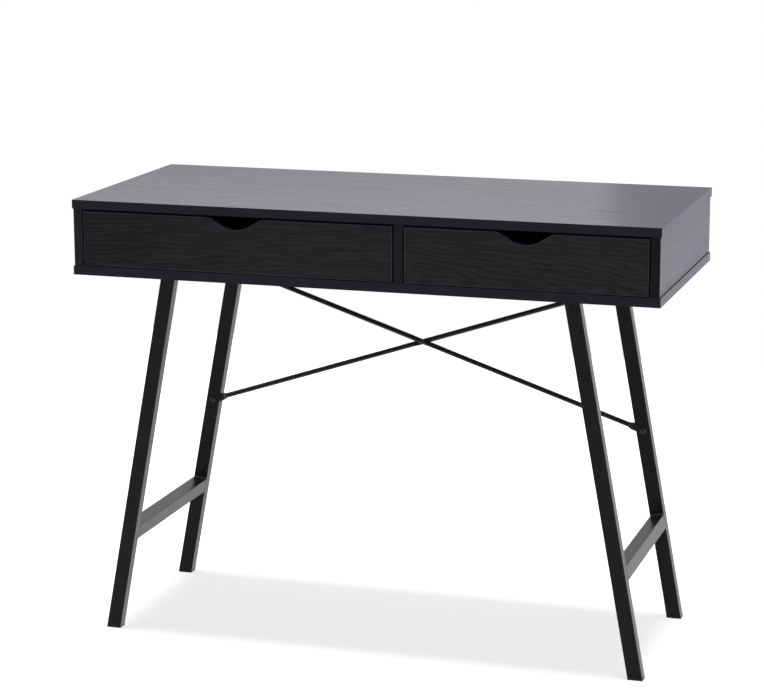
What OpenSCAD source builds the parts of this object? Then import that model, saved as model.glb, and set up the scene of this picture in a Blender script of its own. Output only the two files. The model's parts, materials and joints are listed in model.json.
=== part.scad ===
// Writing desk: a black board carcass with two drawers of unequal width,
// on two splayed steel leg frames that a crossed rod brace ties together.
// +Z is up, +X is to the right, and the drawers open towards -Y.
// The origin is on the floor, under the middle of the desk top. Millimetres.

/* [Overall] */
// Width of the desk top, left to right
desk_w = 1000; // [940:10:1200]
// Depth of the desk top, front to back
desk_d = 440; // [430:5:520]
// Height of the desk top's upper face above the floor
desk_h = 760; // [700:5:800]
// Thickness of the carcass boards and of the drawer fronts
board_t = 15; // [15:1:18]

/* [Carcass] */
// Clear height between the base panel and the desk top
opening_h = 97; // [95:1:120]
// How far the top and the base stand out past the side and back panels
overhang = 2; // [1:0.5:4]
// How far the upright panels and drawer fronts sit behind the front edge
front_recess = 1; // [0.5:0.5:3]
// Middle of the divider, to the right of the middle of the desk
divider_x = 70; // [-70:5:70]

/* [Drawers] */
// Gap at each end of a drawer front
front_gap_side = 3; // [2:0.5:4]
// Gap over a drawer front
front_gap_top = 4; // [3:0.5:6]
// Gap under a drawer front
front_gap_bottom = 2; // [1.5:0.5:4]
// Depth of the finger scoop in the top edge of a drawer front
scoop_depth = 19.5; // [16:0.5:24]
// Slope of the scoop's straight flanks, from the horizontal
scoop_angle = 31; // [28:1:40]
// Length of the drawer box and of its runners
drawer_len = 350; // [300:10:380]
// Thickness of the drawer box's side and back boards
box_t = 12; // [12:1:14]
// Height of the drawer box's sides
box_h = 60; // [54:1:62]

/* [Legs] */
// Width of the leg tube across its splay
tube_w = 25; // [22:1:30]
// Depth of the leg tube, front to back
tube_d = 20; // [18:1:25]
// Wall of the leg tube
tube_wall = 1.5; // [1.2:0.1:2]
// Splay of each leg from the vertical
splay = 10.44; // [6:0.1:11]
// Middle of a leg where it meets the desk, from the middle of the desk
leg_top_x = 346.5; // [330:0.5:360]
// Middle of a leg, from the middle of the desk, front to back
leg_y = 167.5; // [160:0.5:175]
// Height of the crossbar tube, which is as wide as a leg
crossbar_h = 25; // [20:1:30]
// Height of the middle of the crossbar
crossbar_z = 174; // [120:1:260]

/* [Brace] */
// Diameter of the brace rods
rod_d = 9; // [8:0.5:10]
// Height of a rod's fixing on the lower part of a back leg
brace_low_z = 337; // [300:1:400]
// Height of a rod's fixing near the top of the other back leg
brace_high_z = 588; // [540:1:600]

/* [Hidden] */
$fn = 48;
over = 1;                 // how far a cutting solid runs past a face
slip = 0.05;              // radial clearance of a pin, dowel or shank

// Carcass
front_y = -desk_d / 2;
opening_z = desk_h - board_t - opening_h;
opening_top = opening_z + opening_h;
base_z = opening_z - board_t;
panel_y = front_y + front_recess;
back_y = desk_d / 2 - overhang;
back_inner_y = back_y - board_t;
inner_x = desk_w / 2 - overhang - board_t;
side_x = inner_x + board_t / 2;
upright_xs = [-side_x, divider_x, side_x];
left_bay = [-inner_x, divider_x - board_t / 2];
right_bay = [divider_x + board_t / 2, inner_x];

// Carcass fittings
cam_ys = [-150, 120];
dowel_ys = [-110, 160];
back_xs = [-300, 0, 300];
back_dowel_dx = 60;       // each dowel of the back panel stands beside a screw
back_mid_y = back_y - board_t / 2;
dowel_r = 4;
dowel_in_face = 11;
dowel_in_edge = 18;
cam_r = 7.5;
cam_deep = 12.5;
cam_slot_deep = 1.5;
cam_slot_l = 9;
cam_slot_w = 1.2;
cam_drop = 24;            // from the panel's edge to the middle of the cam
bolt_thread_r = 2.5;
bolt_thread_len = 11;
bolt_shank_r = 3;
bolt_head_r = 3.8;
bolt_head_len = 5;
bolt_way_r = 4.2;         // bore for the bolt in the panel's edge and the cam
base_screw_head_r = 5;
base_screw_head_h = 3;
base_screw_shank_r = 3.5;
base_screw_thread_r = 2.5;
base_screw_len = 45;
base_screw_socket_r = 2.3;

// Runners, measured from the wall of the bay and from the base panel
sheet = 1.2;              // runner steel
side_gap = 12.5;          // between the wall of the bay and the drawer box
box_z = 13.5;             // lower edge of the drawer sides
runner_y = front_y + 17.5;
channel_w = 10.5;
channel_z = 8;
channel_h = 26;
roller_r = 9.5;
roller_w = 5.5;
roller_bore_r = 2.55;
roller_gap = 0.3;         // between a roller and its track
stud_r = 2.5;
stud_head_r = 3.8;
stud_head_t = 0.4;
stud_head_gap = 0.2;      // between a roller and the head of its stud
shoulder_r = 4.5;
drawer_flange_z = 32;     // underside of the flange that rides on the front roller
drawer_flange_u = 3;
under_flange_w = 9;
channel_lip_z = 29;
channel_lip_w = 9;
lip_start = 28;           // the channel's lip starts behind the front roller
front_roller_u = 4.2;
front_roller_z = drawer_flange_z - roller_gap - roller_r;
front_roller_y = runner_y + 14;
rear_roller_u = 3.2;
rear_roller_z = channel_z + sheet + roller_gap + roller_r;
rear_roller_y = runner_y + drawer_len - 14;
small_screw_r = 1.75;
small_head_r = 3;
small_head_t = 0.9;
small_screw_len = 10;
small_slot_l = 3.6;
small_slot_w = 0.8;
wall_screw_z = 19;
wall_screw_ys = [60, 190, 310];
right_bay_stagger = 20;   // keeps the screws clear of each other in the divider
box_screw_z = 28.7;
box_screw_ys = [30, 170, 320];

// Drawer box
box_y = panel_y + board_t;
box_end_y = box_y + drawer_len;
box_inner_u = side_gap + box_t;
box_mid_u = side_gap + box_t / 2;
bottom_t = 3;
groove_t = 3.2;
groove_deep = 5;
groove_z = box_z + 8;
bottom_play = 0.2;
box_cam_z = box_z + 42;
box_cam_deep = 9.5;
box_cam_y = box_y + cam_drop;
box_dowel_z = box_z + 26;
box_dowel_r = 3;
box_dowel_in_side = 17;
box_dowel_in_front = 10;
back_screw_zs = [box_z + 26, box_z + 50];
back_screw_r = 2;
back_screw_head_r = 3.5;
back_screw_head_t = 2;
back_screw_len = 30;
back_screw_slot_l = 4;
back_screw_slot_w = 1;
back_screw_slot_deep = 1;
front_z0 = opening_z + front_gap_bottom;
front_z1 = opening_top - front_gap_top;
scoop_lip_r = 18;         // convex corners of the scoop
scoop_floor_r = 46;       // concave bottom of the scoop

// Leg frames
rail_t = 3;
rail_w = 30;
rail_len = 395;
rail_z = base_z - rail_t;
rail_screw_ys = [-187, -60, 60, 187];
rail_screw_r = 2.5;
rail_screw_head_r = 4.75;
rail_screw_head_t = 2.5;
rail_screw_len = 15;
rail_screw_slot_l = 5.2;
rail_screw_slot_w = 1.2;
rail_screw_play = 0.3;    // radial, in the rail's holes
foot_t = 3;
plug_h = 12;
plug_play = 0.1;
half_w = tube_w / 2 / cos(splay);
half_w_in = (tube_w / 2 - tube_wall) / cos(splay);

// Brace
tab_t = 3;                // rod ends are pressed flat to this thickness
tab_h = 13;
tab_out = 21;             // tab's reach from the middle of the leg towards the rod
tab_in = 6;               // tab's reach past the middle of the leg
press_len = 7;            // length over which the round rod is pressed flat
slot_play = 0.2;          // round a tab in its slot, on each side
slot_play_h = 0.5;        // the same, over and under it
brace_y = leg_y - tube_d / 2 + tube_wall + tab_t / 2 + slot_play;
pad_half = 15;            // the rods are cut to half thickness where they cross
brace_run = leg_x(brace_low_z) + leg_x(brace_high_z);
brace_rise = brace_high_z - brace_low_z;
brace_angle = atan(brace_rise / brace_run);
cross_z = brace_low_z + leg_x(brace_low_z) * tan(brace_angle);
low_len = leg_x(brace_low_z) / cos(brace_angle);
high_len = leg_x(brace_high_z) / cos(brace_angle);
brace_screw_r = 3;
brace_head_r = 5.25;
brace_head_h = 3;
head_rim = 0.35;          // button heads: height of the rim, width of the flat top and
head_top = 0.62;          // the socket's width and floor, as parts of the head
head_socket_r = 0.4;
head_socket_z = 0.4;
brace_screw_len = 9;
centre_bolt_r = 2;
centre_head_r = 4;
centre_head_h = 2;
centre_bolt_past = 1.5;   // the bolt's end stands out behind the rods

// Colours
laminate = [0.11, 0.11, 0.12];
box_board = [0.17, 0.17, 0.18];
thin_board = [0.14, 0.14, 0.15];
leg_steel = [0.09, 0.09, 0.09];
runner_steel = [0.2, 0.2, 0.21];
zinc = [0.65, 0.66, 0.68];
black_screw = [0.13, 0.13, 0.13];
beech = [0.78, 0.62, 0.42];
nylon = [0.85, 0.85, 0.82];
rubbery = [0.06, 0.06, 0.06];

// ---- shared shapes ----

// Middle of a right-hand leg at height z
function leg_x(z) = leg_top_x + (base_z - z) * tan(splay);

// A box from its lowest corner to its highest corner
module block(low, high) {
    translate(low) cube(high - low);
}

// Round bars along each axis, starting at a point
module bar_x(from, len, r) {
    translate(from) rotate([0, 90, 0]) cylinder(h = len, r = r);
}
module bar_y(from, len, r) {
    translate(from) rotate([-90, 0, 0]) cylinder(h = len, r = r);
}
module bar_z(from, len, r) {
    translate(from) cylinder(h = len, r = r);
}

// Children as drawn, or mirrored left to right if dir is negative
module facing(dir) {
    mirror([dir < 0 ? 1 : 0, 0, 0]) children();
}

// Children in the frame of a bay's left wall, with +X pointing into the bay
module at_left_wall(bay) {
    translate([bay[0], 0, opening_z]) children();
}
// The same for the right wall, mirrored so that +X still points into the bay
module at_right_wall(bay) {
    translate([bay[1], 0, opening_z]) mirror([1, 0, 0]) children();
}
module at_both_walls(bay) {
    at_left_wall(bay) children();
    at_right_wall(bay) children();
}

// ---- carcass fittings, drawn as the solids and as the holes for them ----

module dowel_row(points, face_z, up, r) {
    below = up > 0 ? dowel_in_edge : dowel_in_face;
    total = dowel_in_edge + dowel_in_face;
    for (p = points) bar_z([p[0], p[1], face_z - below], total, r);
}

// Dowels in both joints of every upright panel, and along the back panel
module carcass_dowels(r) {
    upright_points = [for (x = upright_xs, y = dowel_ys) [x, y]];
    back_points = [for (x = back_xs) [x + back_dowel_dx, back_mid_y]];
    points = concat(upright_points, back_points);
    dowel_row(points, opening_top, 1, r);
    dowel_row(points, opening_z, -1, r);
}

// Which way the cam of an upright panel faces
function cam_side(x) = x > divider_x ? -1 : 1;

module cam_places() {
    for (x = upright_xs, y = cam_ys)
        translate([x, y, opening_top - cam_drop])
            facing(cam_side(x))
                children();
}

// Bore for a cam lock, opening on the panel's inner face
module cam_bore() {
    bar_x([board_t / 2 - cam_deep, 0, 0], cam_deep + over, cam_r);
}

// A cam with its slotted face at x = 0, hollow for a bolt that comes from +Z at bolt_x
module cam_lock(deep, bolt_x) {
    difference() {
        bar_x([-deep + slip, 0, 0], deep - 2 * slip, cam_r - slip);
        bar_z([bolt_x, 0, -bolt_head_len / 2 - slip], 2 * cam_r, bolt_way_r);
        for (turn = [0, 90])
            rotate([turn, 0, 0])
                block(
                    [-cam_slot_deep, -cam_slot_l / 2, -cam_slot_w / 2],
                    [over, cam_slot_l / 2, cam_slot_w / 2]
                );
    }
}

// Bolt that screws into a board at z = 0 and hangs down into the cam
module cam_bolt(drop) {
    union() {
        bar_z([0, 0, 0], bolt_thread_len - slip, bolt_thread_r - slip);
        bar_z([0, 0, -drop], drop, bolt_shank_r);
        bar_z([0, 0, -drop - bolt_head_len / 2], bolt_head_len, bolt_head_r);
    }
}

module base_screw_points() {
    for (x = upright_xs, y = cam_ys) translate([x, y, base_z]) children();
    for (x = back_xs) translate([x, back_mid_y, base_z]) children();
}

module base_screw(play) {
    wider = play * slip;
    bar_z([0, 0, -play * over], base_screw_head_h + play * over, base_screw_head_r + wider);
    bar_z([0, 0, 0], board_t, base_screw_shank_r + wider);
    bar_z([0, 0, 0], base_screw_len, base_screw_thread_r + wider);
}

module rail_screw_points() {
    for (side = [-1, 1], y = rail_screw_ys)
        translate([side * leg_top_x, y, rail_z])
            children();
}

// Screw holes that a cabinet runner leaves in the wall behind it
module wall_screw_row(stagger, r) {
    len = small_screw_len + sheet + over;
    for (y = wall_screw_ys) bar_x([-small_screw_len, runner_y + y + stagger, wall_screw_z], len, r);
}

// ---- carcass boards ----

module desk_top() {
    color(laminate) difference() {
        block([-desk_w / 2, front_y, opening_top], [desk_w / 2, desk_d / 2, desk_h]);
        carcass_dowels(dowel_r);
        for (x = upright_xs, y = cam_ys)
            bar_z([x, y, opening_top - over], bolt_thread_len + over, bolt_thread_r);
    }
}

module base_panel() {
    color(laminate) difference() {
        block([-desk_w / 2, front_y, base_z], [desk_w / 2, desk_d / 2, opening_z]);
        carcass_dowels(dowel_r);
        base_screw_points() base_screw(1);
        rail_screw_points() bar_z([0, 0, 0], rail_screw_len, rail_screw_r);
    }
}

// Upright board between the base and the top, at x, with its rear edge at end_y
module upright_panel(x, end_y) {
    difference() {
        block([x - board_t / 2, panel_y, opening_z], [x + board_t / 2, end_y, opening_top]);
        carcass_dowels(dowel_r);
        base_screw_points() base_screw(1);
        for (y = cam_ys)
            translate([x, y, opening_top - cam_drop]) {
                facing(cam_side(x)) cam_bore();
                bar_z([0, 0, 0], cam_drop + over, bolt_way_r);
            }
        children();
    }
}

module left_side_panel() {
    color(laminate) upright_panel(-side_x, back_y)
        at_left_wall(left_bay) wall_screw_row(0, small_screw_r);
}

module right_side_panel() {
    color(laminate) upright_panel(side_x, back_y)
        at_right_wall(right_bay) wall_screw_row(right_bay_stagger, small_screw_r);
}

module centre_divider() {
    color(laminate) upright_panel(divider_x, back_inner_y) {
        at_right_wall(left_bay) wall_screw_row(0, small_screw_r);
        at_left_wall(right_bay) wall_screw_row(right_bay_stagger, small_screw_r);
    }
}

module back_panel() {
    color(laminate) difference() {
        block([-inner_x, back_inner_y, opening_z], [inner_x, back_y, opening_top]);
        carcass_dowels(dowel_r);
        base_screw_points() base_screw(1);
    }
}

module panel_dowels() {
    color(beech) carcass_dowels(dowel_r - slip);
}

module cam_locks() {
    color(zinc) cam_places() translate([board_t / 2, 0, 0]) cam_lock(cam_deep, -board_t / 2);
}

module cam_bolts() {
    color(zinc)
        for (x = upright_xs, y = cam_ys)
            translate([x, y, opening_top])
                cam_bolt(cam_drop);
}

module base_screws() {
    color(black_screw) base_screw_points() difference() {
        base_screw(0);
        translate([0, 0, -over]) cylinder(h = base_screw_head_h, r = base_screw_socket_r, $fn = 6);
    }
}

// ---- leg frames: drawn for the right-hand side, mirrored for the left ----

// Slanted prism that follows the leg between two heights
module leg_prism(z0, z1, half, depth) {
    rotate([90, 0, 0])
        linear_extrude(height = depth, center = true)
            polygon([
                [leg_x(z0) - half, z0], [leg_x(z0) + half, z0],
                [leg_x(z1) + half, z1], [leg_x(z1) - half, z1]
            ]);
}

module leg_tube(y) {
    translate([0, y, 0]) difference() {
        leg_prism(foot_t, rail_z, half_w, tube_d);
        leg_prism(0, base_z, half_w_in, tube_d - 2 * tube_wall);
    }
}

module front_leg() {
    color(leg_steel) leg_tube(-leg_y);
}

// The back leg takes a pressed rod end through a slot, under a screw hole
module back_leg() {
    color(leg_steel) difference() {
        leg_tube(leg_y);
        brace_frame(-1) tab_slot(low_len);
        brace_frame(1) tab_slot(high_len);
        for (z = [brace_low_z, brace_high_z])
            bar_y([leg_x(z), leg_y - tube_d, z], tube_d / 2 + tube_wall + tab_t, brace_screw_r + 2 * slip);
    }
}

module crossbar() {
    len = 2 * leg_y - tube_d;
    color(leg_steel)
        translate([leg_x(crossbar_z), 0, crossbar_z])
            rotate([0, -splay, 0])
                difference() {
                    cube([tube_w, len, crossbar_h], center = true);
                    cube([tube_w - 2 * tube_wall, len + over, crossbar_h - 2 * tube_wall], center = true);
                }
}

module mounting_rail() {
    color(leg_steel) difference() {
        block(
            [leg_top_x - rail_w / 2, -rail_len / 2, rail_z],
            [leg_top_x + rail_w / 2, rail_len / 2, base_z]
        );
        for (y = rail_screw_ys)
            bar_z([leg_top_x, y, rail_z - over], rail_t + 2 * over, rail_screw_r + rail_screw_play);
    }
}

// Plastic foot: a plate under the tube and a plug inside it
module foot(y) {
    color(rubbery) translate([0, y, 0]) union() {
        leg_prism(0, foot_t, half_w, tube_d);
        leg_prism(foot_t, foot_t + plug_h, half_w_in - plug_play, tube_d - 2 * (tube_wall + plug_play));
    }
}

module leg_screws() {
    color(black_screw) rail_screw_points() {
        difference() {
            bar_z([0, 0, -rail_screw_head_t], rail_screw_head_t, rail_screw_head_r);
            for (turn = [0, 90])
                rotate([0, 0, turn])
                    block(
                        [-rail_screw_slot_l / 2, -rail_screw_slot_w / 2, -rail_screw_head_t - over],
                        [rail_screw_slot_l / 2, rail_screw_slot_w / 2, -rail_screw_head_t / 2]
                    );
        }
        bar_z([0, 0, 0], rail_screw_len - slip, rail_screw_r - slip);
    }
}

// ---- crossed brace behind the knees ----

// Frame of a rod: the origin is where the rods cross. With side 1 the local +X
// runs up to the right-hand leg, and with side -1 it runs down to it.
module brace_frame(side) {
    translate([0, brace_y, cross_z])
        rotate([0, -side * brace_angle, 0])
            children();
}

// Slot that a rod end slides into, cut through the inner wall of the leg only
module tab_slot(len) {
    slot_half_h = tab_h / 2 + slot_play_h;
    slot_half_t = tab_t / 2 + slot_play;
    block([len - tab_out, -slot_half_t, -slot_half_h], [len, slot_half_t, slot_half_h]);
}

// Where a round rod is pressed flat: a cone between two closing planes.
// The section goes from round to end_r tall, between y0 and y1 thick.
module pressed(end_r, y0, y1) {
    open = rod_d / 2 + tab_t / 8;
    intersection() {
        rotate([0, 90, 0]) cylinder(h = press_len, r1 = rod_d / 2, r2 = end_r);
        linear_extrude(height = 4 * rod_d, center = true)
            polygon([[0, -open], [press_len, y0], [press_len, y1], [0, open]]);
    }
}

// Half of a rod, from the crossing to its end in the leg
module rod_half(len) {
    tab_x = len - tab_out;
    bar_x([0, 0, 0], tab_x - press_len, rod_d / 2);
    translate([tab_x - press_len, 0, 0]) pressed(tab_h / 2, -tab_t / 2, tab_t / 2);
    difference() {
        block([tab_x, -tab_t / 2, -tab_h / 2], [len + tab_in, tab_t / 2, tab_h / 2]);
        bar_y([len, -tab_t, 0], 2 * tab_t, brace_screw_r);
    }
}

// A whole rod, half cut away on one side of its middle so that the two rods cross flat
module rod(cut_side, hole_r) {
    cut_y = cut_side < 0 ? -rod_d : 0;
    difference() {
        union() {
            rod_half(high_len);
            mirror([1, 0, 0]) rod_half(low_len);
        }
        block([-pad_half, cut_y, -rod_d], [pad_half, cut_y + rod_d, rod_d]);
        bar_y([0, -rod_d, 0], 2 * rod_d, hole_r);
    }
}

module brace_rod_front() {
    color(leg_steel) mirror([1, 0, 0]) brace_frame(1) rod(1, centre_bolt_r + 2 * slip);
}

module brace_rod_rear() {
    color(leg_steel) brace_frame(1) rod(-1, centre_bolt_r);
}

// Button head with a hexagonal socket, its flat side at y = 0, facing -Y
module button_head(r, h) {
    rotate([90, 0, 0]) difference() {
        rotate_extrude() polygon([[0, 0], [r, 0], [r, h * head_rim], [r * head_top, h], [0, h]]);
        translate([0, 0, h * head_socket_z]) cylinder(h = h, r = r * head_socket_r, $fn = 6);
    }
}

module brace_centre_bolt() {
    color(black_screw) translate([0, brace_y - rod_d / 2, cross_z]) union() {
        button_head(centre_head_r, centre_head_h);
        bar_y([0, -slip, 0], rod_d + centre_bolt_past, centre_bolt_r - slip);
    }
}

module brace_screws() {
    color(black_screw)
        for (side = [-1, 1], z = [brace_low_z, brace_high_z])
            translate([side * leg_x(z), leg_y - tube_d / 2, z])
                union() {
                    button_head(brace_head_r, brace_head_h);
                    bar_y([0, -slip, 0], brace_screw_len, brace_screw_r - slip);
                }
}

// ---- runners, drawn at the left wall of a bay ----

// A roller's stud: a shoulder, the shaft through the roller and a riveted head
module roller_stud(roller_u, shoulder_u, head_side, y, z) {
    near = head_side > 0 ? shoulder_u : roller_u + roller_w + roller_gap;
    far = head_side > 0 ? roller_u - roller_gap : shoulder_u;
    head_u = head_side > 0 ? roller_u + roller_w + stud_head_gap : roller_u - stud_head_gap - stud_head_t;
    shaft_u = min(near, head_u);
    bar_x([near, y, z], far - near, shoulder_r);
    bar_x([shaft_u, y, z], max(far, head_u + stud_head_t) - shaft_u, stud_r);
    bar_x([head_u, y, z], stud_head_t, stud_head_r);
}

module cabinet_runner(stagger) {
    runner_end = runner_y + drawer_len;
    color(runner_steel) difference() {
        union() {
            block([0, runner_y, channel_z], [sheet, runner_end, channel_z + channel_h]);
            block([0, runner_y, channel_z], [channel_w, runner_end, channel_z + sheet]);
            block(
                [0, runner_y + lip_start, channel_lip_z],
                [channel_lip_w, runner_end, channel_lip_z + sheet]
            );
            roller_stud(front_roller_u, sheet / 2, 1, front_roller_y, front_roller_z);
        }
        wall_screw_row(stagger, small_screw_r + slip);
    }
}

module drawer_runner() {
    end_y = runner_y + drawer_len;
    web_u = side_gap - sheet;
    color(runner_steel) difference() {
        union() {
            block([web_u, runner_y, box_z - sheet], [side_gap, end_y, drawer_flange_z + sheet]);
            block([drawer_flange_u, runner_y, drawer_flange_z], [side_gap, end_y, drawer_flange_z + sheet]);
            block([web_u, runner_y, box_z - sheet], [side_gap + under_flange_w, end_y, box_z]);
            roller_stud(rear_roller_u, side_gap - sheet / 2, -1, rear_roller_y, rear_roller_z);
        }
        for (y = box_screw_ys)
            bar_x([web_u - over, runner_y + y, box_screw_z], sheet + 2 * over, small_screw_r + slip);
    }
}

module roller(u, y, z) {
    difference() {
        bar_x([u, y, z], roller_w, roller_r);
        bar_x([u - over, y, z], roller_w + 2 * over, roller_bore_r);
    }
}

module bay_rollers(bay) {
    color(nylon) at_both_walls(bay) roller(front_roller_u, front_roller_y, front_roller_z);
}

module drawer_rollers(bay) {
    color(nylon) at_both_walls(bay) roller(rear_roller_u, rear_roller_y, rear_roller_z);
}

// Low-headed screw along -X or +X, its head's flat side at the point
module small_screw(dir) {
    facing(dir) difference() {
        union() {
            bar_x([-small_head_t, 0, 0], small_head_t, small_head_r);
            bar_x([0, 0, 0], small_screw_len - slip - sheet / 2, small_screw_r - slip);
        }
        for (turn = [0, 90])
            rotate([turn, 0, 0])
                block(
                    [-over, -small_slot_l / 2, -small_slot_w / 2],
                    [-small_head_t / 2, small_slot_l / 2, small_slot_w / 2]
                );
    }
}

module cabinet_runner_screws() {
    color(zinc) {
        for (y = wall_screw_ys) {
            at_both_walls(left_bay) translate([sheet, runner_y + y, wall_screw_z]) small_screw(-1);
            at_both_walls(right_bay)
                translate([sheet, runner_y + y + right_bay_stagger, wall_screw_z])
                    small_screw(-1);
        }
    }
}

// ---- drawers ----

// Outline cut from the top edge of a drawer front, with its top at y = 0:
// convex corners, straight flanks and a concave floor, all tangent
module scoop_outline() {
    lip_run = scoop_lip_r * sin(scoop_angle);
    lip_drop = scoop_lip_r * (1 - cos(scoop_angle));
    floor_run = scoop_floor_r * sin(scoop_angle);
    floor_rise = scoop_floor_r * (1 - cos(scoop_angle));
    flank_run = (scoop_depth - lip_drop - floor_rise) / tan(scoop_angle);
    half = lip_run + flank_run + floor_run;
    left = [
        for (a = [0 : scoop_angle / 8 : scoop_angle])
            [-half + scoop_lip_r * sin(a), -scoop_lip_r * (1 - cos(a))]
    ];
    floor_curve = [
        for (a = [-scoop_angle : scoop_angle / 12 : scoop_angle])
            [scoop_floor_r * sin(a), -scoop_depth + scoop_floor_r * (1 - cos(a))]
    ];
    right = [for (i = [len(left) - 1 : -1 : 0]) [-left[i][0], left[i][1]]];
    polygon(concat([[-half, over]], left, floor_curve, right, [[half, over]]));
}

module drawer_front(bay) {
    mid_x = (bay[0] + bay[1]) / 2;
    color(laminate) difference() {
        block([bay[0] + front_gap_side, panel_y, front_z0], [bay[1] - front_gap_side, box_y, front_z1]);
        translate([mid_x, box_y + over, front_z1])
            rotate([90, 0, 0])
                linear_extrude(height = board_t + 2 * over)
                    scoop_outline();
        block(
            [bay[0] + box_inner_u - groove_deep, box_y - groove_deep, opening_z + groove_z],
            [bay[1] - box_inner_u + groove_deep, box_y + over, opening_z + groove_z + groove_t]
        );
        at_both_walls(bay) {
            bar_y([box_mid_u, box_y - bolt_thread_len, box_cam_z], bolt_thread_len + over, bolt_thread_r);
            bar_y(
                [box_mid_u, box_y - box_dowel_in_front, box_dowel_z],
                box_dowel_in_front + over,
                box_dowel_r
            );
        }
    }
}

// Side board of a drawer box, drawn at the left wall
module drawer_side() {
    color(box_board) difference() {
        block([side_gap, box_y, box_z], [box_inner_u, box_end_y, box_z + box_h]);
        block(
            [box_inner_u - groove_deep, box_y - over, groove_z],
            [box_inner_u + over, box_end_y + over, groove_z + groove_t]
        );
        bar_x([side_gap - over, box_cam_y, box_cam_z], box_cam_deep + over, cam_r);
        bar_y([box_mid_u, box_y - over, box_cam_z], cam_drop + bolt_head_len, bolt_way_r);
        bar_y([box_mid_u, box_y - over, box_dowel_z], box_dowel_in_side + over, box_dowel_r);
        for (z = back_screw_zs) {
            from = [side_gap - over, box_end_y - box_t / 2, z];
            bar_x(from, box_t + 2 * over, back_screw_r + slip);
            bar_x(from, back_screw_head_t + over, back_screw_head_r + slip);
        }
        for (y = box_screw_ys)
            bar_x([side_gap - over, runner_y + y, box_screw_z], small_screw_len, small_screw_r);
    }
}

module drawer_back(bay) {
    color(box_board) difference() {
        block(
            [bay[0] + box_inner_u, box_end_y - box_t, opening_z + groove_z + groove_t],
            [bay[1] - box_inner_u, box_end_y, opening_z + box_z + box_h]
        );
        at_both_walls(bay)
            for (z = back_screw_zs)
                bar_x([side_gap, box_end_y - box_t / 2, z], back_screw_len, back_screw_r);
    }
}

module drawer_bottom(bay) {
    edge = box_inner_u - groove_deep + bottom_play;
    edge_y = box_y - groove_deep + bottom_play;
    z = opening_z + groove_z + (groove_t - bottom_t) / 2;
    color(thin_board)
        block([bay[0] + edge, edge_y, z], [bay[1] - edge, box_end_y, z + bottom_t]);
}

module drawer_cam_locks(bay) {
    color(zinc) at_both_walls(bay)
        translate([side_gap, box_cam_y, box_cam_z])
            rotate([90, 0, 0])
                facing(-1) cam_lock(box_cam_deep, -box_t / 2);
}

module drawer_cam_bolts(bay) {
    color(zinc) at_both_walls(bay)
        translate([box_mid_u, box_y, box_cam_z])
            rotate([90, 0, 0])
                cam_bolt(cam_drop);
}

module drawer_dowels(bay) {
    color(beech) at_both_walls(bay)
        bar_y(
            [box_mid_u, box_y - box_dowel_in_front, box_dowel_z],
            box_dowel_in_front + box_dowel_in_side,
            box_dowel_r - slip
        );
}

module drawer_back_screws(bay) {
    y = box_end_y - box_t / 2;
    color(black_screw) at_both_walls(bay)
        for (z = back_screw_zs)
            union() {
                difference() {
                    bar_x([side_gap, y, z], back_screw_head_t - slip, back_screw_head_r);
                    for (turn = [0, 90])
                        translate([side_gap, y, z])
                            rotate([turn, 0, 0])
                                block(
                                    [-over, -back_screw_slot_l / 2, -back_screw_slot_w / 2],
                                    [back_screw_slot_deep, back_screw_slot_l / 2, back_screw_slot_w / 2]
                                );
                }
                bar_x(
                    [side_gap + back_screw_slot_deep, y, z],
                    back_screw_len - back_screw_slot_deep - slip,
                    back_screw_r - slip
                );
            }
}

module drawer_runner_screws(bay) {
    color(zinc) at_both_walls(bay)
        for (y = box_screw_ys)
            translate([side_gap - sheet, runner_y + y, box_screw_z])
                small_screw(1);
}

// ---- which nodes to draw ----

module left_side() {
    mirror([1, 0, 0]) children();
}

desk_top();
base_panel();
left_side_panel();
right_side_panel();
centre_divider();
back_panel();
panel_dowels();
cam_locks();
cam_bolts();
base_screws();
left_side() front_leg();  // left_front_leg
left_side() back_leg();  // left_back_leg
left_side() crossbar();  // left_crossbar
left_side() mounting_rail();  // left_mounting_rail
front_leg();  // right_front_leg
back_leg();  // right_back_leg
crossbar();  // right_crossbar
mounting_rail();  // right_mounting_rail
left_side() foot(-leg_y);  // left_front_foot
left_side() foot(leg_y);  // left_back_foot
foot(-leg_y);  // right_front_foot
foot(leg_y);  // right_back_foot
leg_screws();
brace_rod_front();
brace_rod_rear();
brace_centre_bolt();
brace_screws();
at_left_wall(left_bay) cabinet_runner(0);  // left_bay_left_runner
at_right_wall(left_bay) cabinet_runner(0);  // left_bay_right_runner
bay_rollers(left_bay);  // left_bay_rollers
at_left_wall(right_bay) cabinet_runner(right_bay_stagger);  // right_bay_left_runner
at_right_wall(right_bay) cabinet_runner(right_bay_stagger);  // right_bay_right_runner
bay_rollers(right_bay);  // right_bay_rollers
cabinet_runner_screws();
drawer_front(left_bay);  // left_drawer_front
at_left_wall(left_bay) drawer_side();  // left_drawer_left_side
at_right_wall(left_bay) drawer_side();  // left_drawer_right_side
drawer_back(left_bay);  // left_drawer_back
drawer_bottom(left_bay);  // left_drawer_bottom
at_left_wall(left_bay) drawer_runner();  // left_drawer_left_runner
at_right_wall(left_bay) drawer_runner();  // left_drawer_right_runner
drawer_rollers(left_bay);  // left_drawer_rollers
drawer_cam_locks(left_bay);  // left_drawer_cam_locks
drawer_cam_bolts(left_bay);  // left_drawer_cam_bolts
drawer_dowels(left_bay);  // left_drawer_dowels
drawer_back_screws(left_bay);  // left_drawer_back_screws
drawer_runner_screws(left_bay);  // left_drawer_runner_screws
drawer_front(right_bay);  // right_drawer_front
at_left_wall(right_bay) drawer_side();  // right_drawer_left_side
at_right_wall(right_bay) drawer_side();  // right_drawer_right_side
drawer_back(right_bay);  // right_drawer_back
drawer_bottom(right_bay);  // right_drawer_bottom
at_left_wall(right_bay) drawer_runner();  // right_drawer_left_runner
at_right_wall(right_bay) drawer_runner();  // right_drawer_right_runner
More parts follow.
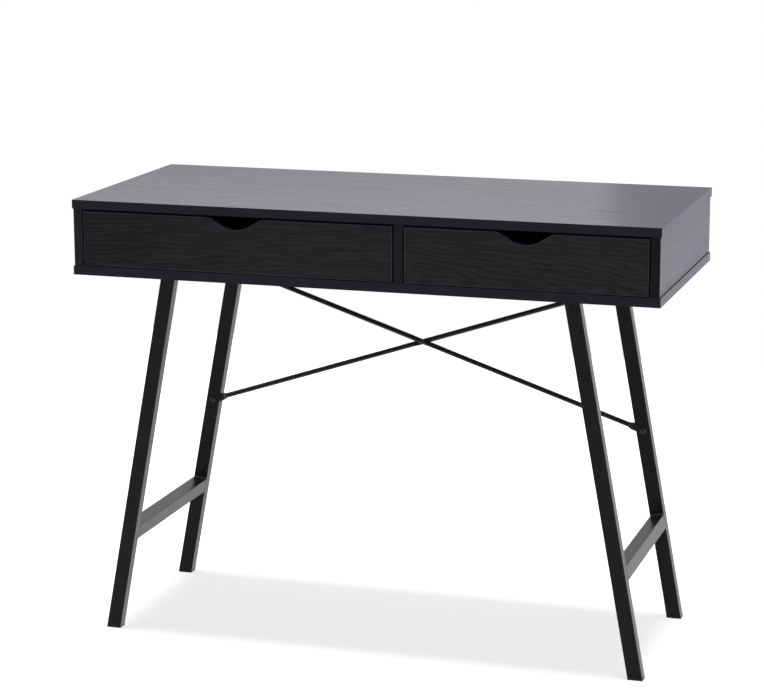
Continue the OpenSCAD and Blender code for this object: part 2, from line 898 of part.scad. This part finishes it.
drawer_rollers(right_bay);  // right_drawer_rollers
drawer_cam_locks(right_bay);  // right_drawer_cam_locks
drawer_cam_bolts(right_bay);  // right_drawer_cam_bolts
drawer_dowels(right_bay);  // right_drawer_dowels
drawer_back_screws(right_bay);  // right_drawer_back_screws
drawer_runner_screws(right_bay);  // right_drawer_runner_screws
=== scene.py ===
"""Looks of the black writing desk: materials, weld beads, floor, studio light and camera.

Everything is in metres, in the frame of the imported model: +X right, +Z up, the drawers open towards -Y.
"""
import json
import math
import random

import bmesh
import bpy
from mathutils import Matrix, Vector


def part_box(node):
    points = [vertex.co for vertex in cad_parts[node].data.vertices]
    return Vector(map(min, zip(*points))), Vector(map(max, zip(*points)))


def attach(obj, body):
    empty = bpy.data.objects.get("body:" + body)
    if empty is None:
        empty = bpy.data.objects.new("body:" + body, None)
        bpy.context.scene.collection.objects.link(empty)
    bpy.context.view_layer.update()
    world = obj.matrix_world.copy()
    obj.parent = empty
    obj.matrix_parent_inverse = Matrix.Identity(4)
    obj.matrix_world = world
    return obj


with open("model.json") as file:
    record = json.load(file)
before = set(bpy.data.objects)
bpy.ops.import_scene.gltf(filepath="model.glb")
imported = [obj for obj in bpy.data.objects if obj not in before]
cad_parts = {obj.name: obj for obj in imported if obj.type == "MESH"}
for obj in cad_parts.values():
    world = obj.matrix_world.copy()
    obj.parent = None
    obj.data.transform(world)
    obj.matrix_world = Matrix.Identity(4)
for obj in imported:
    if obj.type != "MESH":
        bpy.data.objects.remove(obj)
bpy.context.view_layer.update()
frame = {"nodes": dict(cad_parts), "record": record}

SIDES = ("left", "right")

# ---------------------------------------------------------------- camera

CAMERA_AT = (1.2305, -4.0042, 1.4064)
CAMERA_TARGET = (-0.0260, 0.0, 0.4868)
CAMERA_ROLL = math.radians(-0.12)
CAMERA_LENS = 117.6   # mm
CAMERA_SENSOR = 36.0  # mm
CAMERA_CLIP = (0.05, 60.0)


def make_camera():
    """Camera at the eye height and angle of a standing photographer with a long lens."""
    data = bpy.data.cameras.new("desk_camera")
    data.lens = CAMERA_LENS
    data.sensor_width = CAMERA_SENSOR
    data.sensor_fit = "HORIZONTAL"
    data.clip_start, data.clip_end = CAMERA_CLIP
    camera = bpy.data.objects.new("desk_camera", data)
    bpy.context.scene.collection.objects.link(camera)
    look = Vector(CAMERA_TARGET) - Vector(CAMERA_AT)
    turn = look.to_track_quat("-Z", "Y").to_matrix().to_4x4()
    camera.matrix_world = Matrix.Translation(CAMERA_AT) @ turn @ Matrix.Rotation(CAMERA_ROLL, 4, "Z")
    bpy.context.scene.camera = camera


make_camera()

# ---------------------------------------------------------------- node trees of materials

SHEEN_ROUGHNESS = 0.5
SHEEN_TINT = (0.30, 0.34, 1.0, 1.0)


class Paint:
    """One material's node tree, with short calls for the nodes that the finishes here are made of."""

    def __init__(self, name):
        self.material = bpy.data.materials.new(name)
        self.material.use_nodes = True
        self.tree = self.material.node_tree
        self.tree.nodes.clear()
        self.shader = self.node("ShaderNodeBsdfPrincipled")
        output = self.node("ShaderNodeOutputMaterial")
        self.link(self.shader.outputs["BSDF"], output.inputs["Surface"])
        self.place = self.node("ShaderNodeTexCoord").outputs["Object"]

    def node(self, kind, **settings):
        made = self.tree.nodes.new(kind)
        for key, value in settings.items():
            setattr(made, key, value)
        return made

    def link(self, source, target):
        self.tree.links.new(source, target)

    def feed(self, socket, value):
        """Links value to the socket if it is another node's output, or else sets it."""
        if isinstance(value, bpy.types.NodeSocket):
            self.link(value, socket)
        else:
            socket.default_value = value

    def math(self, operation, a, b=0.0, c=0.0):
        made = self.node("ShaderNodeMath", operation=operation)
        for socket, value in zip(made.inputs, (a, b, c)):
            self.feed(socket, value)
        return made.outputs[0]

    def remap(self, value, low, high, to_low, to_high, smooth=False):
        made = self.node("ShaderNodeMapRange", clamp=True)
        made.interpolation_type = "SMOOTHSTEP" if smooth else "LINEAR"
        for socket, given in zip(made.inputs, (value, low, high, to_low, to_high)):
            self.feed(socket, given)
        return made.outputs[0]

    def moved(self, vector, scale=(1.0, 1.0, 1.0), turn=(0.0, 0.0, 0.0), shift=(0.0, 0.0, 0.0)):
        made = self.node("ShaderNodeMapping")
        self.feed(made.inputs["Vector"], vector)
        made.inputs["Scale"].default_value = scale
        made.inputs["Rotation"].default_value = turn
        made.inputs["Location"].default_value = shift
        return made.outputs[0]

    def noise(self, vector, scale=1.0, detail=2.0, roughness=0.5, distortion=0.0):
        made = self.node("ShaderNodeTexNoise")
        self.feed(made.inputs["Vector"], vector)
        made.inputs["Scale"].default_value = scale
        made.inputs["Detail"].default_value = detail
        made.inputs["Roughness"].default_value = roughness
        made.inputs["Distortion"].default_value = distortion
        return made.outputs["Fac"]

    def mix(self, factor, first, second):
        """Mixes two numbers."""
        made = self.node("ShaderNodeMix", data_type="FLOAT")
        for i, value in zip((0, 2, 3), (factor, first, second)):
            self.feed(made.inputs[i], value)
        return made.outputs[0]

    def blend(self, factor, first, second):
        """Mixes two colours."""
        made = self.node("ShaderNodeMix", data_type="RGBA")
        for i, value in zip((0, 6, 7), (factor, first, second)):
            self.feed(made.inputs[i], value)
        return made.outputs[2]

    def bump(self, height, depth):
        made = self.node("ShaderNodeBump")
        made.inputs["Strength"].default_value = 1.0
        made.inputs["Distance"].default_value = depth
        self.feed(made.inputs["Height"], height)
        return made.outputs["Normal"]

    def finish(self, color, roughness, normal=None, metallic=0.0, specular=0.5, sheen=0.0):
        self.feed(self.shader.inputs["Base Color"], color)
        self.feed(self.shader.inputs["Roughness"], roughness)
        self.shader.inputs["Metallic"].default_value = metallic
        self.shader.inputs["Specular IOR Level"].default_value = specular
        self.shader.inputs["Sheen Weight"].default_value = sheen
        self.shader.inputs["Sheen Roughness"].default_value = SHEEN_ROUGHNESS
        self.shader.inputs["Sheen Tint"].default_value = SHEEN_TINT
        if normal is not None:
            self.link(normal, self.shader.inputs["Normal"])
        return self.material


def grey(level, blue=0.0):
    """A linear colour of one level, with a little more blue if asked."""
    return (level, level, level * (1.0 + blue), 1.0)


# ---------------------------------------------------------------- wood-grain foil and banding

GRAIN_TURNS = {"X": (0.0, 0.0, 0.0), "Y": (0.0, 0.0, math.pi / 2), "Z": (0.0, math.pi / 2, 0.0)}
FACE_AXIS = {"X": 0, "Y": 1, "Z": 2}

# how often a pattern changes in a metre: along the grain, and twice across it
SWAY_PATTERN = (1.1, 8.0, 8.0)
WOBBLE_PATTERN = (13.0, 70.0, 70.0)
FIBRE_PATTERN = (11.0, 260.0, 260.0)
PORE_PATTERN = (26.0, 1100.0, 1100.0)
CLOUD_PATTERN = (1.6, 6.0, 6.0)
STREAK_PATTERN = (2.2, 85.0, 85.0)

SWAY = 0.07                   # metres that the growth rings sway along the trunk
WOBBLE = 2.6                  # ring widths that they wobble
STREAK_EDGE = (0.60, 0.68)    # noise from where a streak starts to where it is full
PORE_EDGE = (0.56, 0.70)
TONE_MIDDLE = 0.75            # sum of the patterns that gives the tone halfway between dark and light
TONE_SPREAD = 0.30            # how far below and above it dark and light are
CLOUDINESS = 0.5
GROOVE_DARKNESS = 0.7
GROOVE_SHADE = 0.3            # tone at the bottom of a pore or streak, as a part of the foil's darkest
GROOVE_ROUGHNESS = 0.20
GROOVE_HEIGHT = 0.6
BANDED_FACING = (0.30, 0.20)  # how squarely a surface faces the foil's way, from none to all banding
RIM_FACING = (0.98, 0.85)     # agreement of the sharp and the rounded normal, from none to all rim
BANDING = ((0.0098, 0.0092, 0.0138), (0.0138, 0.0131, 0.0188))  # its darkest and lightest tone
BANDING_ROUGHNESS = (0.30, 0.39)
BANDING_PEBBLE = 900.0        # pebbles in a metre
BANDING_PATCH = 30.0          # patches of one tone in a metre
BANDING_HEIGHT = 0.3
BOARD_RELIEF = 0.0001         # metres
BOARD_SPECULAR = 0.4
BOARD_SHEEN = 0.055


def growth_rings(paint, along, trunk, tilt, ring):
    """Rings of a trunk that the board cuts through, swaying along the trunk and unevenly spaced."""
    sway = paint.noise(paint.moved(along, SWAY_PATTERN), detail=3.0)
    wobble = paint.noise(paint.moved(along, WOBBLE_PATTERN), detail=2.0)
    sway = paint.math("MULTIPLY_ADD", sway, SWAY, paint.math("MULTIPLY", wobble, ring * WOBBLE))
    parts = paint.node("ShaderNodeSeparateXYZ")
    paint.link(paint.moved(along, turn=tilt, shift=trunk), parts.inputs[0])
    across = [paint.math("POWER", parts.outputs[i], 2.0) for i in (1, 2)]
    radius = paint.math("SQRT", paint.math("ADD", *across))
    phase = paint.math("MULTIPLY", paint.math("ADD", radius, sway), 2.0 * math.pi / ring)
    return paint.math("MULTIPLY_ADD", paint.math("SINE", phase), 0.5, 0.5)


def foil_grooves(paint, along, streaky, pored):
    """Short pores and long dark streaks."""
    fine = paint.noise(paint.moved(along, PORE_PATTERN), detail=3.0)
    streak = paint.noise(paint.moved(along, STREAK_PATTERN), detail=3.0, distortion=0.9)
    streaks = paint.remap(streak, *STREAK_EDGE, 0.0, streaky, smooth=True)
    pores = paint.remap(fine, *PORE_EDGE, 0.0, pored, smooth=True)
    return paint.math("MAXIMUM", pores, streaks)


def rim_mask(paint, facet, rim_width):
    """One along every arris and nought on flat ground, from how rounding by rim_width turns the surface."""
    rounded = paint.node("ShaderNodeBevel", samples=8)
    rounded.inputs["Radius"].default_value = rim_width
    turned = paint.node("ShaderNodeVectorMath", operation="DOT_PRODUCT")
    paint.link(facet, turned.inputs[0])
    paint.link(rounded.outputs["Normal"], turned.inputs[1])
    return paint.remap(turned.outputs["Value"], *RIM_FACING, 0.0, 1.0)


def board(name, grain="X", face="Z", dark=0.011, light=0.024, trunk=(0.0, 0.06, 0.05), tilt=(0.0, 0.04, 0.0),
          ring=0.011, figure=0.25, streaky=0.7, pored=0.6, contrast=1.0, roughness=0.33, rim=0.02,
          rim_width=0.0006, rim_roughness=0.5, banding_shade=1.0, blue=0.08):
    """Particle board in black wood-grain foil, its edges banded in plain black.

    The foil shows growth rings, long fibres, dark streaks and short pores. The black edge band covers what
    doesn't face along the board's face axis; where its tone is scaled below one, that is painted shade on a
    stile that gets less light. A painted line along every arris, rim_width wide, has a tone of its own: a
    painted highlight where it is lighter than the foil, painted shade where it is darker.
    """
    paint = Paint(name)
    along = paint.moved(paint.place, turn=GRAIN_TURNS[grain])
    rings = growth_rings(paint, along, trunk, tilt, ring)
    fibres = paint.noise(paint.moved(along, FIBRE_PATTERN), detail=6.0, roughness=0.7)
    cloud = paint.noise(paint.moved(along, CLOUD_PATTERN), detail=3.0)
    mixed = paint.math("MULTIPLY_ADD", rings, figure, paint.math("MULTIPLY", fibres, 1.0 - figure))
    spread = TONE_SPREAD / contrast
    clouded = paint.math("MULTIPLY_ADD", cloud, CLOUDINESS, mixed)
    tone = paint.remap(clouded, TONE_MIDDLE - spread, TONE_MIDDLE + spread, 0.0, 1.0)
    grooves = foil_grooves(paint, along, streaky, pored)
    color = paint.blend(tone, grey(dark, blue), grey(light, blue))
    shaded = paint.math("MULTIPLY", grooves, GROOVE_DARKNESS)
    color = paint.blend(shaded, color, grey(dark * GROOVE_SHADE, blue))
    gloss = paint.remap(tone, 0.0, 1.0, roughness + 0.05, roughness - 0.04)
    gloss = paint.math("MULTIPLY_ADD", grooves, GROOVE_ROUGHNESS, gloss)
    height = paint.math("SUBTRACT", mixed, paint.math("MULTIPLY", grooves, GROOVE_HEIGHT))

    facet = paint.node("ShaderNodeNewGeometry").outputs["Normal"]
    normals = paint.node("ShaderNodeSeparateXYZ")
    paint.link(facet, normals.inputs[0])
    facing = paint.math("ABSOLUTE", normals.outputs[FACE_AXIS[face]])
    banded = paint.remap(facing, *BANDED_FACING, 0.0, 1.0)
    edge = rim_mask(paint, facet, rim_width)
    pebble = paint.noise(paint.place, BANDING_PEBBLE)
    patch = paint.noise(paint.place, BANDING_PATCH)
    # Below one, the scale on the edge band's tones is painted shade on a stile that gets less light.
    band_dark, band_light = ([banding_shade * part for part in band_tone] + [1.0] for band_tone in BANDING)
    color = paint.blend(banded, color, paint.blend(patch, band_dark, band_light))
    # Painted line along every arris: a painted highlight where its tone is lighter than the foil, painted
    # shade where darker.
    color = paint.blend(edge, color, grey(rim, blue))
    gloss = paint.mix(banded, gloss, paint.remap(pebble, 0.3, 0.7, *BANDING_ROUGHNESS))
    gloss = paint.mix(edge, gloss, rim_roughness)
    height = paint.mix(banded, height, paint.math("MULTIPLY", pebble, BANDING_HEIGHT))
    relief = paint.bump(height, BOARD_RELIEF)
    return paint.finish(color, gloss, relief, specular=BOARD_SPECULAR, sheen=BOARD_SHEEN)


# ---------------------------------------------------------------- the other finishes


def powder_coat(name, level=0.0095, roughness=0.28, specular=0.6):
    """Satin black powder coat: fine pebbled texture and some cloudiness, neutral where the foil is bluish."""
    paint = Paint(name)
    peel = paint.noise(paint.place, scale=520.0, detail=3.0, roughness=0.6)
    cloud = paint.noise(paint.place, scale=22.0, detail=3.0)
    tone = paint.math("MULTIPLY_ADD", peel, 0.6, paint.math("MULTIPLY", cloud, 0.4))
    color = paint.blend(paint.remap(tone, 0.3, 0.7, 0.0, 1.0), grey(level * 0.75), grey(level * 1.3))
    gloss = paint.remap(tone, 0.35, 0.65, roughness - 0.04, roughness + 0.06)
    return paint.finish(color, gloss, paint.bump(peel, depth=0.00008), specular=specular)


def moulded(name, color_low, color_high, roughness):
    """Moulded plastic with a faint texture and tone changes."""
    paint = Paint(name)
    texture = paint.noise(paint.place, scale=1500.0)
    cloud = paint.noise(paint.place, scale=45.0)
    color = paint.blend(cloud, color_low, color_high)
    gloss = paint.remap(cloud, 0.3, 0.7, roughness - 0.04, roughness + 0.06)
    return paint.finish(color, gloss, paint.bump(texture, depth=0.00002))


def plated(name, level, roughness, metallic=1.0):
    """Zinc plate or black oxide: metal with fine scratches and cloudy patches."""
    paint = Paint(name)
    scratch = paint.noise(paint.moved(paint.place, (400.0, 400.0, 2600.0)), detail=3.0)
    cloud = paint.noise(paint.place, scale=160.0, detail=3.0)
    color = paint.blend(cloud, grey(level * 0.82, 0.03), grey(level * 1.1, 0.05))
    gloss = paint.remap(scratch, 0.3, 0.7, roughness - 0.06, roughness + 0.1)
    return paint.finish(color, gloss, paint.bump(scratch, depth=0.00002), metallic=metallic)


def raw_beech(name):
    """Raw beech of the dowels: pale brown flecks along X."""
    paint = Paint(name)
    flecks = paint.noise(paint.moved(paint.place, (60.0, 1400.0, 1400.0)), detail=4.0)
    color = paint.blend(flecks, (0.42, 0.27, 0.14, 1.0), (0.66, 0.48, 0.29, 1.0))
    return paint.finish(color, paint.remap(flecks, 0.3, 0.7, 0.62, 0.78), paint.bump(flecks, depth=0.00005))


# ---------------------------------------------------------------- which piece gets which finish

# The fronts' arris tone is lighter than their foil: a painted highlight along their edges and scoops.
FRONT = {"face": "Y", "figure": 0.17, "ring": 0.0065, "dark": 0.0055, "light": 0.0225, "streaky": 0.4,
         "contrast": 1.5, "rim": 0.06, "rim_width": 0.0018, "rim_roughness": 0.40, "blue": 0.02}
SIDE = {"grain": "Y", "face": "X", "figure": 0.05, "streaky": 0.05, "pored": 0.2, "contrast": 0.7}
DRAWER_BOARD = {"dark": 0.028, "light": 0.05, "roughness": 0.45, "figure": 0.1}
DRAWER_SIDE = board("drawer_side_foil", grain="Y", face="X", **DRAWER_BOARD)
DRAWER_BACK = board("drawer_back_foil", grain="X", face="Y", **DRAWER_BOARD)
DRAWER_BOTTOM = board("drawer_bottom_foil", dark=0.02, light=0.04, roughness=0.5, figure=0.1)
BOARDS = {
    # The top's arris tone is darker than its foil: painted shade along its arrises.
    "desk_top": board("top_foil", trunk=(0.0, 0.15, 0.30), tilt=(0.0, 0.02, 0.03), figure=0.10, ring=0.022,
                      streaky=1.0, roughness=0.22, rim=0.004, rim_roughness=0.65),
    "base_panel": board("base_foil", trunk=(0.0, -0.1, 0.25), figure=0.15),
    "left_side_panel": board("left_side_foil", trunk=(0.0, 0.1, 0.4), **SIDE),
    # The right side panel's and the divider's edge banding is darkened: painted shade on stiles that get less
    # light.
    "right_side_panel": board("right_side_foil", trunk=(0.0, 0.1, -0.4), banding_shade=0.5, **SIDE),
    "centre_divider": board("divider_foil", banding_shade=0.75, **SIDE),
    "back_panel": board("back_foil", face="Y", trunk=(0.0, -0.15, -0.7), figure=0.3),
    "left_drawer_front": board("left_front_foil", trunk=(0.0, 0.235, -0.690), tilt=(0.0, 0.05, 0.06),
                               **FRONT),
    "right_drawer_front": board("right_front_foil", trunk=(0.0, 0.240, -0.655), tilt=(0.0, -0.06, 0.06),
                                **FRONT),
}
for side in SIDES:
    BOARDS[f"{side}_drawer_left_side"] = DRAWER_SIDE
    BOARDS[f"{side}_drawer_right_side"] = DRAWER_SIDE
    BOARDS[f"{side}_drawer_back"] = DRAWER_BACK
    BOARDS[f"{side}_drawer_bottom"] = DRAWER_BOTTOM
FINISH = {
    "black_steel": powder_coat("black_steel"),
    "runner_steel": powder_coat("runner_steel", level=0.05, roughness=0.3, specular=0.5),
    "black_plastic": moulded("black_plastic", grey(0.011), grey(0.018), 0.5),
    "nylon": moulded("nylon", (0.66, 0.65, 0.6, 1.0), (0.78, 0.77, 0.74, 1.0), 0.38),
    "zinc_fitting": plated("zinc_fitting", 0.56, 0.28),
    "black_fastener": plated("black_fastener", 0.03, 0.36, metallic=0.0),
    "beech_dowel": raw_beech("beech_dowel"),
}
# The beads' coat is much lighter than the frame's: a painted highlight along the beads.
WELD_HIGHLIGHT_COAT = powder_coat("weld_highlight_coat", level=0.05, roughness=0.40)

TUBE_CORNER = 0.0010
FOOT_CORNER = 0.0004
CORNER_SEGMENTS = 2
SHARP_ANGLE = math.radians(35.0)
SAME_PLACE = 0.000002


def soften(node, width):
    """Rounds the sharp edges of a tube or a foot by width, once its faces share their corners."""
    joined = node.modifiers.new("joined_corners", "WELD")
    joined.merge_threshold = SAME_PLACE
    rounding = node.modifiers.new("rounded_edges", "BEVEL")
    rounding.width = width
    rounding.segments = CORNER_SEGMENTS
    rounding.limit_method = "ANGLE"
    rounding.angle_limit = SHARP_ANGLE
    rounding.harden_normals = True


slots = {row["node"]: row["material_slot"] for row in frame["record"]["subparts"]}
for node_name, node in frame["nodes"].items():
    for material_slot in node.material_slots:
        material_slot.material = BOARDS.get(node_name) or FINISH[slots[node_name]]
    if node_name.endswith(("_leg", "_crossbar")):
        soften(node, TUBE_CORNER)
    elif node_name.endswith("_foot"):
        soften(node, FOOT_CORNER)

# ---------------------------------------------------------------- weld beads of the leg frames

SPLAY = math.radians(10.44)
TUBE_WIDTH = 0.025
TUBE_DEPTH = 0.020
CROSSBAR_HEIGHT = 0.025
BEAD = 0.0026          # height of a bead on either wall
BEAD_INSET = 0.001     # how far a crossbar's bead stops short of the tube's side
RIPPLE = 0.0022        # length of one ripple of a bead
RIPPLE_SIZE = 0.10     # of the bead's height
UNEVENNESS = 0.06      # of the bead's height
STEP = 0.0005
ROOT = 0.0003          # how far a bead's root reaches into the corner
# section of a bead in its corner, as parts of its height: out along the plate, then up the tube
BEAD_ARC = ((1.0, 0.0), (0.86, 0.34), (0.62, 0.62), (0.34, 0.86), (0.0, 1.0))
dice = random.Random(20)


def lay_bead(mesh, stops, closed):
    """Adds one bead to a bmesh, through stops.

    A stop is a point of the corner, the way out on the plate and the way up the tube.
    """
    rings = []
    phase = dice.uniform(0.0, 2.0 * math.pi)
    run = 0.0
    for i, (point, out, up) in enumerate(stops):
        if i:
            run += (point - stops[i - 1][0]).length
        ripple = RIPPLE_SIZE * math.sin(phase + 2.0 * math.pi * run / RIPPLE)
        size = BEAD * (1.0 + ripple + dice.uniform(-UNEVENNESS, UNEVENNESS))
        section = [point - ROOT * (out + up), point + size * out - ROOT * up]
        section += [point + size * (a * out + b * up) for a, b in BEAD_ARC]
        section.append(point + size * up - ROOT * out)
        rings.append([mesh.verts.new(corner) for corner in section])
    pairs = list(zip(rings, rings[1:]))
    if closed:
        pairs.append((rings[-1], rings[0]))
    else:
        mesh.faces.new(rings[0])
        mesh.faces.new(reversed(rings[-1]))
    for first, second in pairs:
        for i in range(len(first)):
            j = (i + 1) % len(first)
            mesh.faces.new((first[i], first[j], second[j], second[i]))


def straight(start, end, out, up):
    """Stops of a bead from start to end."""
    count = max(2, round((end - start).length / STEP))
    return [(start.lerp(end, i / count), out, up) for i in range(count + 1)]


def crossbar_beads(mesh, side):
    """Beads over and under the crossbar, where its ends meet the legs."""
    low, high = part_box(f"{side}_crossbar")
    middle = (Vector(low) + Vector(high)) / 2
    sign = 1 if side == "right" else -1
    wide = Vector((math.cos(SPLAY), 0.0, sign * math.sin(SPLAY)))
    tall = Vector((-sign * math.sin(SPLAY), 0.0, math.cos(SPLAY)))
    half = wide * (TUBE_WIDTH / 2 - BEAD_INSET)
    for end_y, inward in ((low[1], 1.0), (high[1], -1.0)):
        end = Vector((middle.x, end_y, middle.z))
        for way in (-1.0, 1.0):
            edge = end + way * tall * CROSSBAR_HEIGHT / 2
            lay_bead(mesh, straight(edge - half, edge + half, way * tall, Vector((0.0, inward, 0.0))), False)


def leg_top_beads(mesh, side):
    """A bead round the top of each leg, under its mounting rail."""
    low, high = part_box(f"{side}_mounting_rail")
    sign = 1 if side == "right" else -1
    down = Vector((sign * math.sin(SPLAY), 0.0, -math.cos(SPLAY)))
    half_x = TUBE_WIDTH / 2 / math.cos(SPLAY)
    middle_x = (low[0] + high[0]) / 2 + sign * (high[2] - low[2]) * math.tan(SPLAY)
    outs = [Vector(way) for way in ((1, 0, 0), (0, 1, 0), (-1, 0, 0), (0, -1, 0))]
    for leg in ("front", "back"):
        leg_low, leg_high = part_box(f"{side}_{leg}_leg")
        middle = Vector((middle_x, (leg_low[1] + leg_high[1]) / 2, low[2]))
        corners = [middle + Vector((x * half_x, y * TUBE_DEPTH / 2, 0.0))
                   for x, y in ((1, -1), (1, 1), (-1, 1), (-1, -1))]
        stops = []
        for i, out in enumerate(outs):
            corner = corners[(i + 1) % 4]
            stops += straight(corners[i], corner, out, down)
            stops.append((corner, (out + outs[(i + 1) % 4]).normalized(), down))
        lay_bead(mesh, stops, True)


def make_welds(side):
    """One piece with all the weld beads of a leg frame."""
    mesh = bmesh.new()
    crossbar_beads(mesh, side)
    leg_top_beads(mesh, side)
    bmesh.ops.recalc_face_normals(mesh, faces=mesh.faces)
    data = bpy.data.meshes.new(f"{side}_frame_welds")
    mesh.to_mesh(data)
    mesh.free()
    data.shade_smooth()
    data.materials.append(WELD_HIGHLIGHT_COAT)
    welds = bpy.data.objects.new(f"{side}_frame_welds", data)
    bpy.context.scene.collection.objects.link(welds)
    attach(welds, "desk")


for side in SIDES:
    make_welds(side)

# ---------------------------------------------------------------- floor, world and lights

WHITE = (1.0, 1.0, 1.0, 1.0)
FLOOR_HALF = 2.2
FLOOR_TONES = (0.29, 0.31)
FLOOR_GLOW = 0.665

# light of the room by direction, each as from, to, light at from and light at to
ROOM_COLOR = (0.995, 0.985, 1.01, 1.0)
ROOM_DEPTH = (-0.90, -0.15, 0.10, 1.0)    # along Y: dim where the camera stands, bright behind the desk
ROOM_HORIZON = (-0.10, 0.12, 1.03, 0.25)  # along Z: bright below the horizon, dim just above it
ROOM_ABOVE = (0.14, 0.34, 0.0, 0.60)      # along Z: what is added higher up

KEY_ENERGY = 8.1
KEY_ANGLE = math.radians(13.0)
# place, target, size and radiance
OVERHEAD_BOX = ((0.0, 0.3, 2.9), (0.0, 0.0, 0.7), (2.4, 1.4), 1.2)
BACK_BOX = ((-0.95, 1.05, 1.29), (-0.10, -0.15, 0.76), (2.4, 0.7), 0.44)
FRONT_FILL = ((0.6, -3.6, 1.3), (0.0, 0.0, 0.6), (1.8, 1.2), 3.2)


def make_floor():
    """Pale floor that glows faintly, like a studio sweep lit from below, so that only the shadow shows."""
    mesh = bpy.data.meshes.new("studio_floor")
    corners = [(x * FLOOR_HALF, y * FLOOR_HALF, 0.0) for x, y in ((-1, -1), (1, -1), (1, 1), (-1, 1))]
    mesh.from_pydata(corners, [], [(0, 1, 2, 3)])
    floor = bpy.data.objects.new("studio_floor", mesh)
    bpy.context.scene.collection.objects.link(floor)
    floor.visible_glossy = False
    paint = Paint("studio_floor")
    color = paint.blend(paint.noise(paint.place, scale=3.0), *(grey(tone) for tone in FLOOR_TONES))
    paint.shader.inputs["Emission Color"].default_value = WHITE
    paint.shader.inputs["Emission Strength"].default_value = FLOOR_GLOW
    mesh.materials.append(paint.finish(color, 0.9, specular=0.0))


def make_world():
    """Studio that is dim where the camera stands, bright to the sides and behind, and white to the camera."""
    world = bpy.data.worlds.new("studio")
    bpy.context.scene.world = world
    world.use_nodes = True
    tree = world.node_tree
    tree.nodes.clear()

    def add(kind, **settings):
        made = tree.nodes.new(kind)
        for key, value in settings.items():
            setattr(made, key, value)
        return made

    def smooth_step(source, steps):
        step = add("ShaderNodeMapRange", interpolation_type="SMOOTHSTEP")
        tree.links.new(source, step.inputs[0])
        for socket, value in zip(list(step.inputs)[1:5], steps):
            socket.default_value = value
        return step.outputs[0]

    def combine(operation, first, second):
        made = add("ShaderNodeMath", operation=operation)
        tree.links.new(first, made.inputs[0])
        tree.links.new(second, made.inputs[1])
        return made.outputs[0]

    parts = add("ShaderNodeSeparateXYZ")
    tree.links.new(add("ShaderNodeTexCoord").outputs["Generated"], parts.inputs[0])
    depth = smooth_step(parts.outputs[1], ROOM_DEPTH)
    horizon = smooth_step(parts.outputs[2], ROOM_HORIZON)
    above = smooth_step(parts.outputs[2], ROOM_ABOVE)
    room = add("ShaderNodeBackground")
    room.inputs["Color"].default_value = ROOM_COLOR
    tree.links.new(combine("MULTIPLY", depth, combine("ADD", horizon, above)), room.inputs["Strength"])
    white = add("ShaderNodeBackground")
    white.inputs["Color"].default_value = WHITE
    mix = add("ShaderNodeMixShader")
    tree.links.new(add("ShaderNodeLightPath").outputs["Is Camera Ray"], mix.inputs[0])
    tree.links.new(room.outputs[0], mix.inputs[1])
    tree.links.new(white.outputs[0], mix.inputs[2])
    tree.links.new(mix.outputs[0], add("ShaderNodeOutputWorld").inputs["Surface"])


def soft_box(name, at, target, size, radiance):
    """Rectangular light of that radiance, which the camera doesn't see."""
    light = bpy.data.lights.new(name, "AREA")
    light.shape = "RECTANGLE"
    light.size, light.size_y = size
    light.energy = radiance * math.pi * size[0] * size[1]
    box = bpy.data.objects.new(name, light)
    box.location = at
    look = Vector(target) - box.location
    box.rotation_euler = look.to_track_quat("-Z", "Y").to_euler()
    box.visible_camera = False
    bpy.context.scene.collection.objects.link(box)
    return box


def make_lights():
    """A key straight above for the shadow between the feet, soft boxes above and behind, a fill in front."""
    key = bpy.data.lights.new("key", "SUN")
    key.energy = KEY_ENERGY
    key.angle = KEY_ANGLE
    bpy.context.scene.collection.objects.link(bpy.data.objects.new("key", key))
    soft_box("overhead_box", *OVERHEAD_BOX)
    soft_box("back_box", *BACK_BOX)
    fill = soft_box("front_fill", *FRONT_FILL)
    fill.visible_glossy = False


make_floor()
make_world()
make_lights()
view = bpy.context.scene.view_settings
view.view_transform = "Standard"
view.look = "None"
view.exposure = 0.0
view.gamma = 1.0
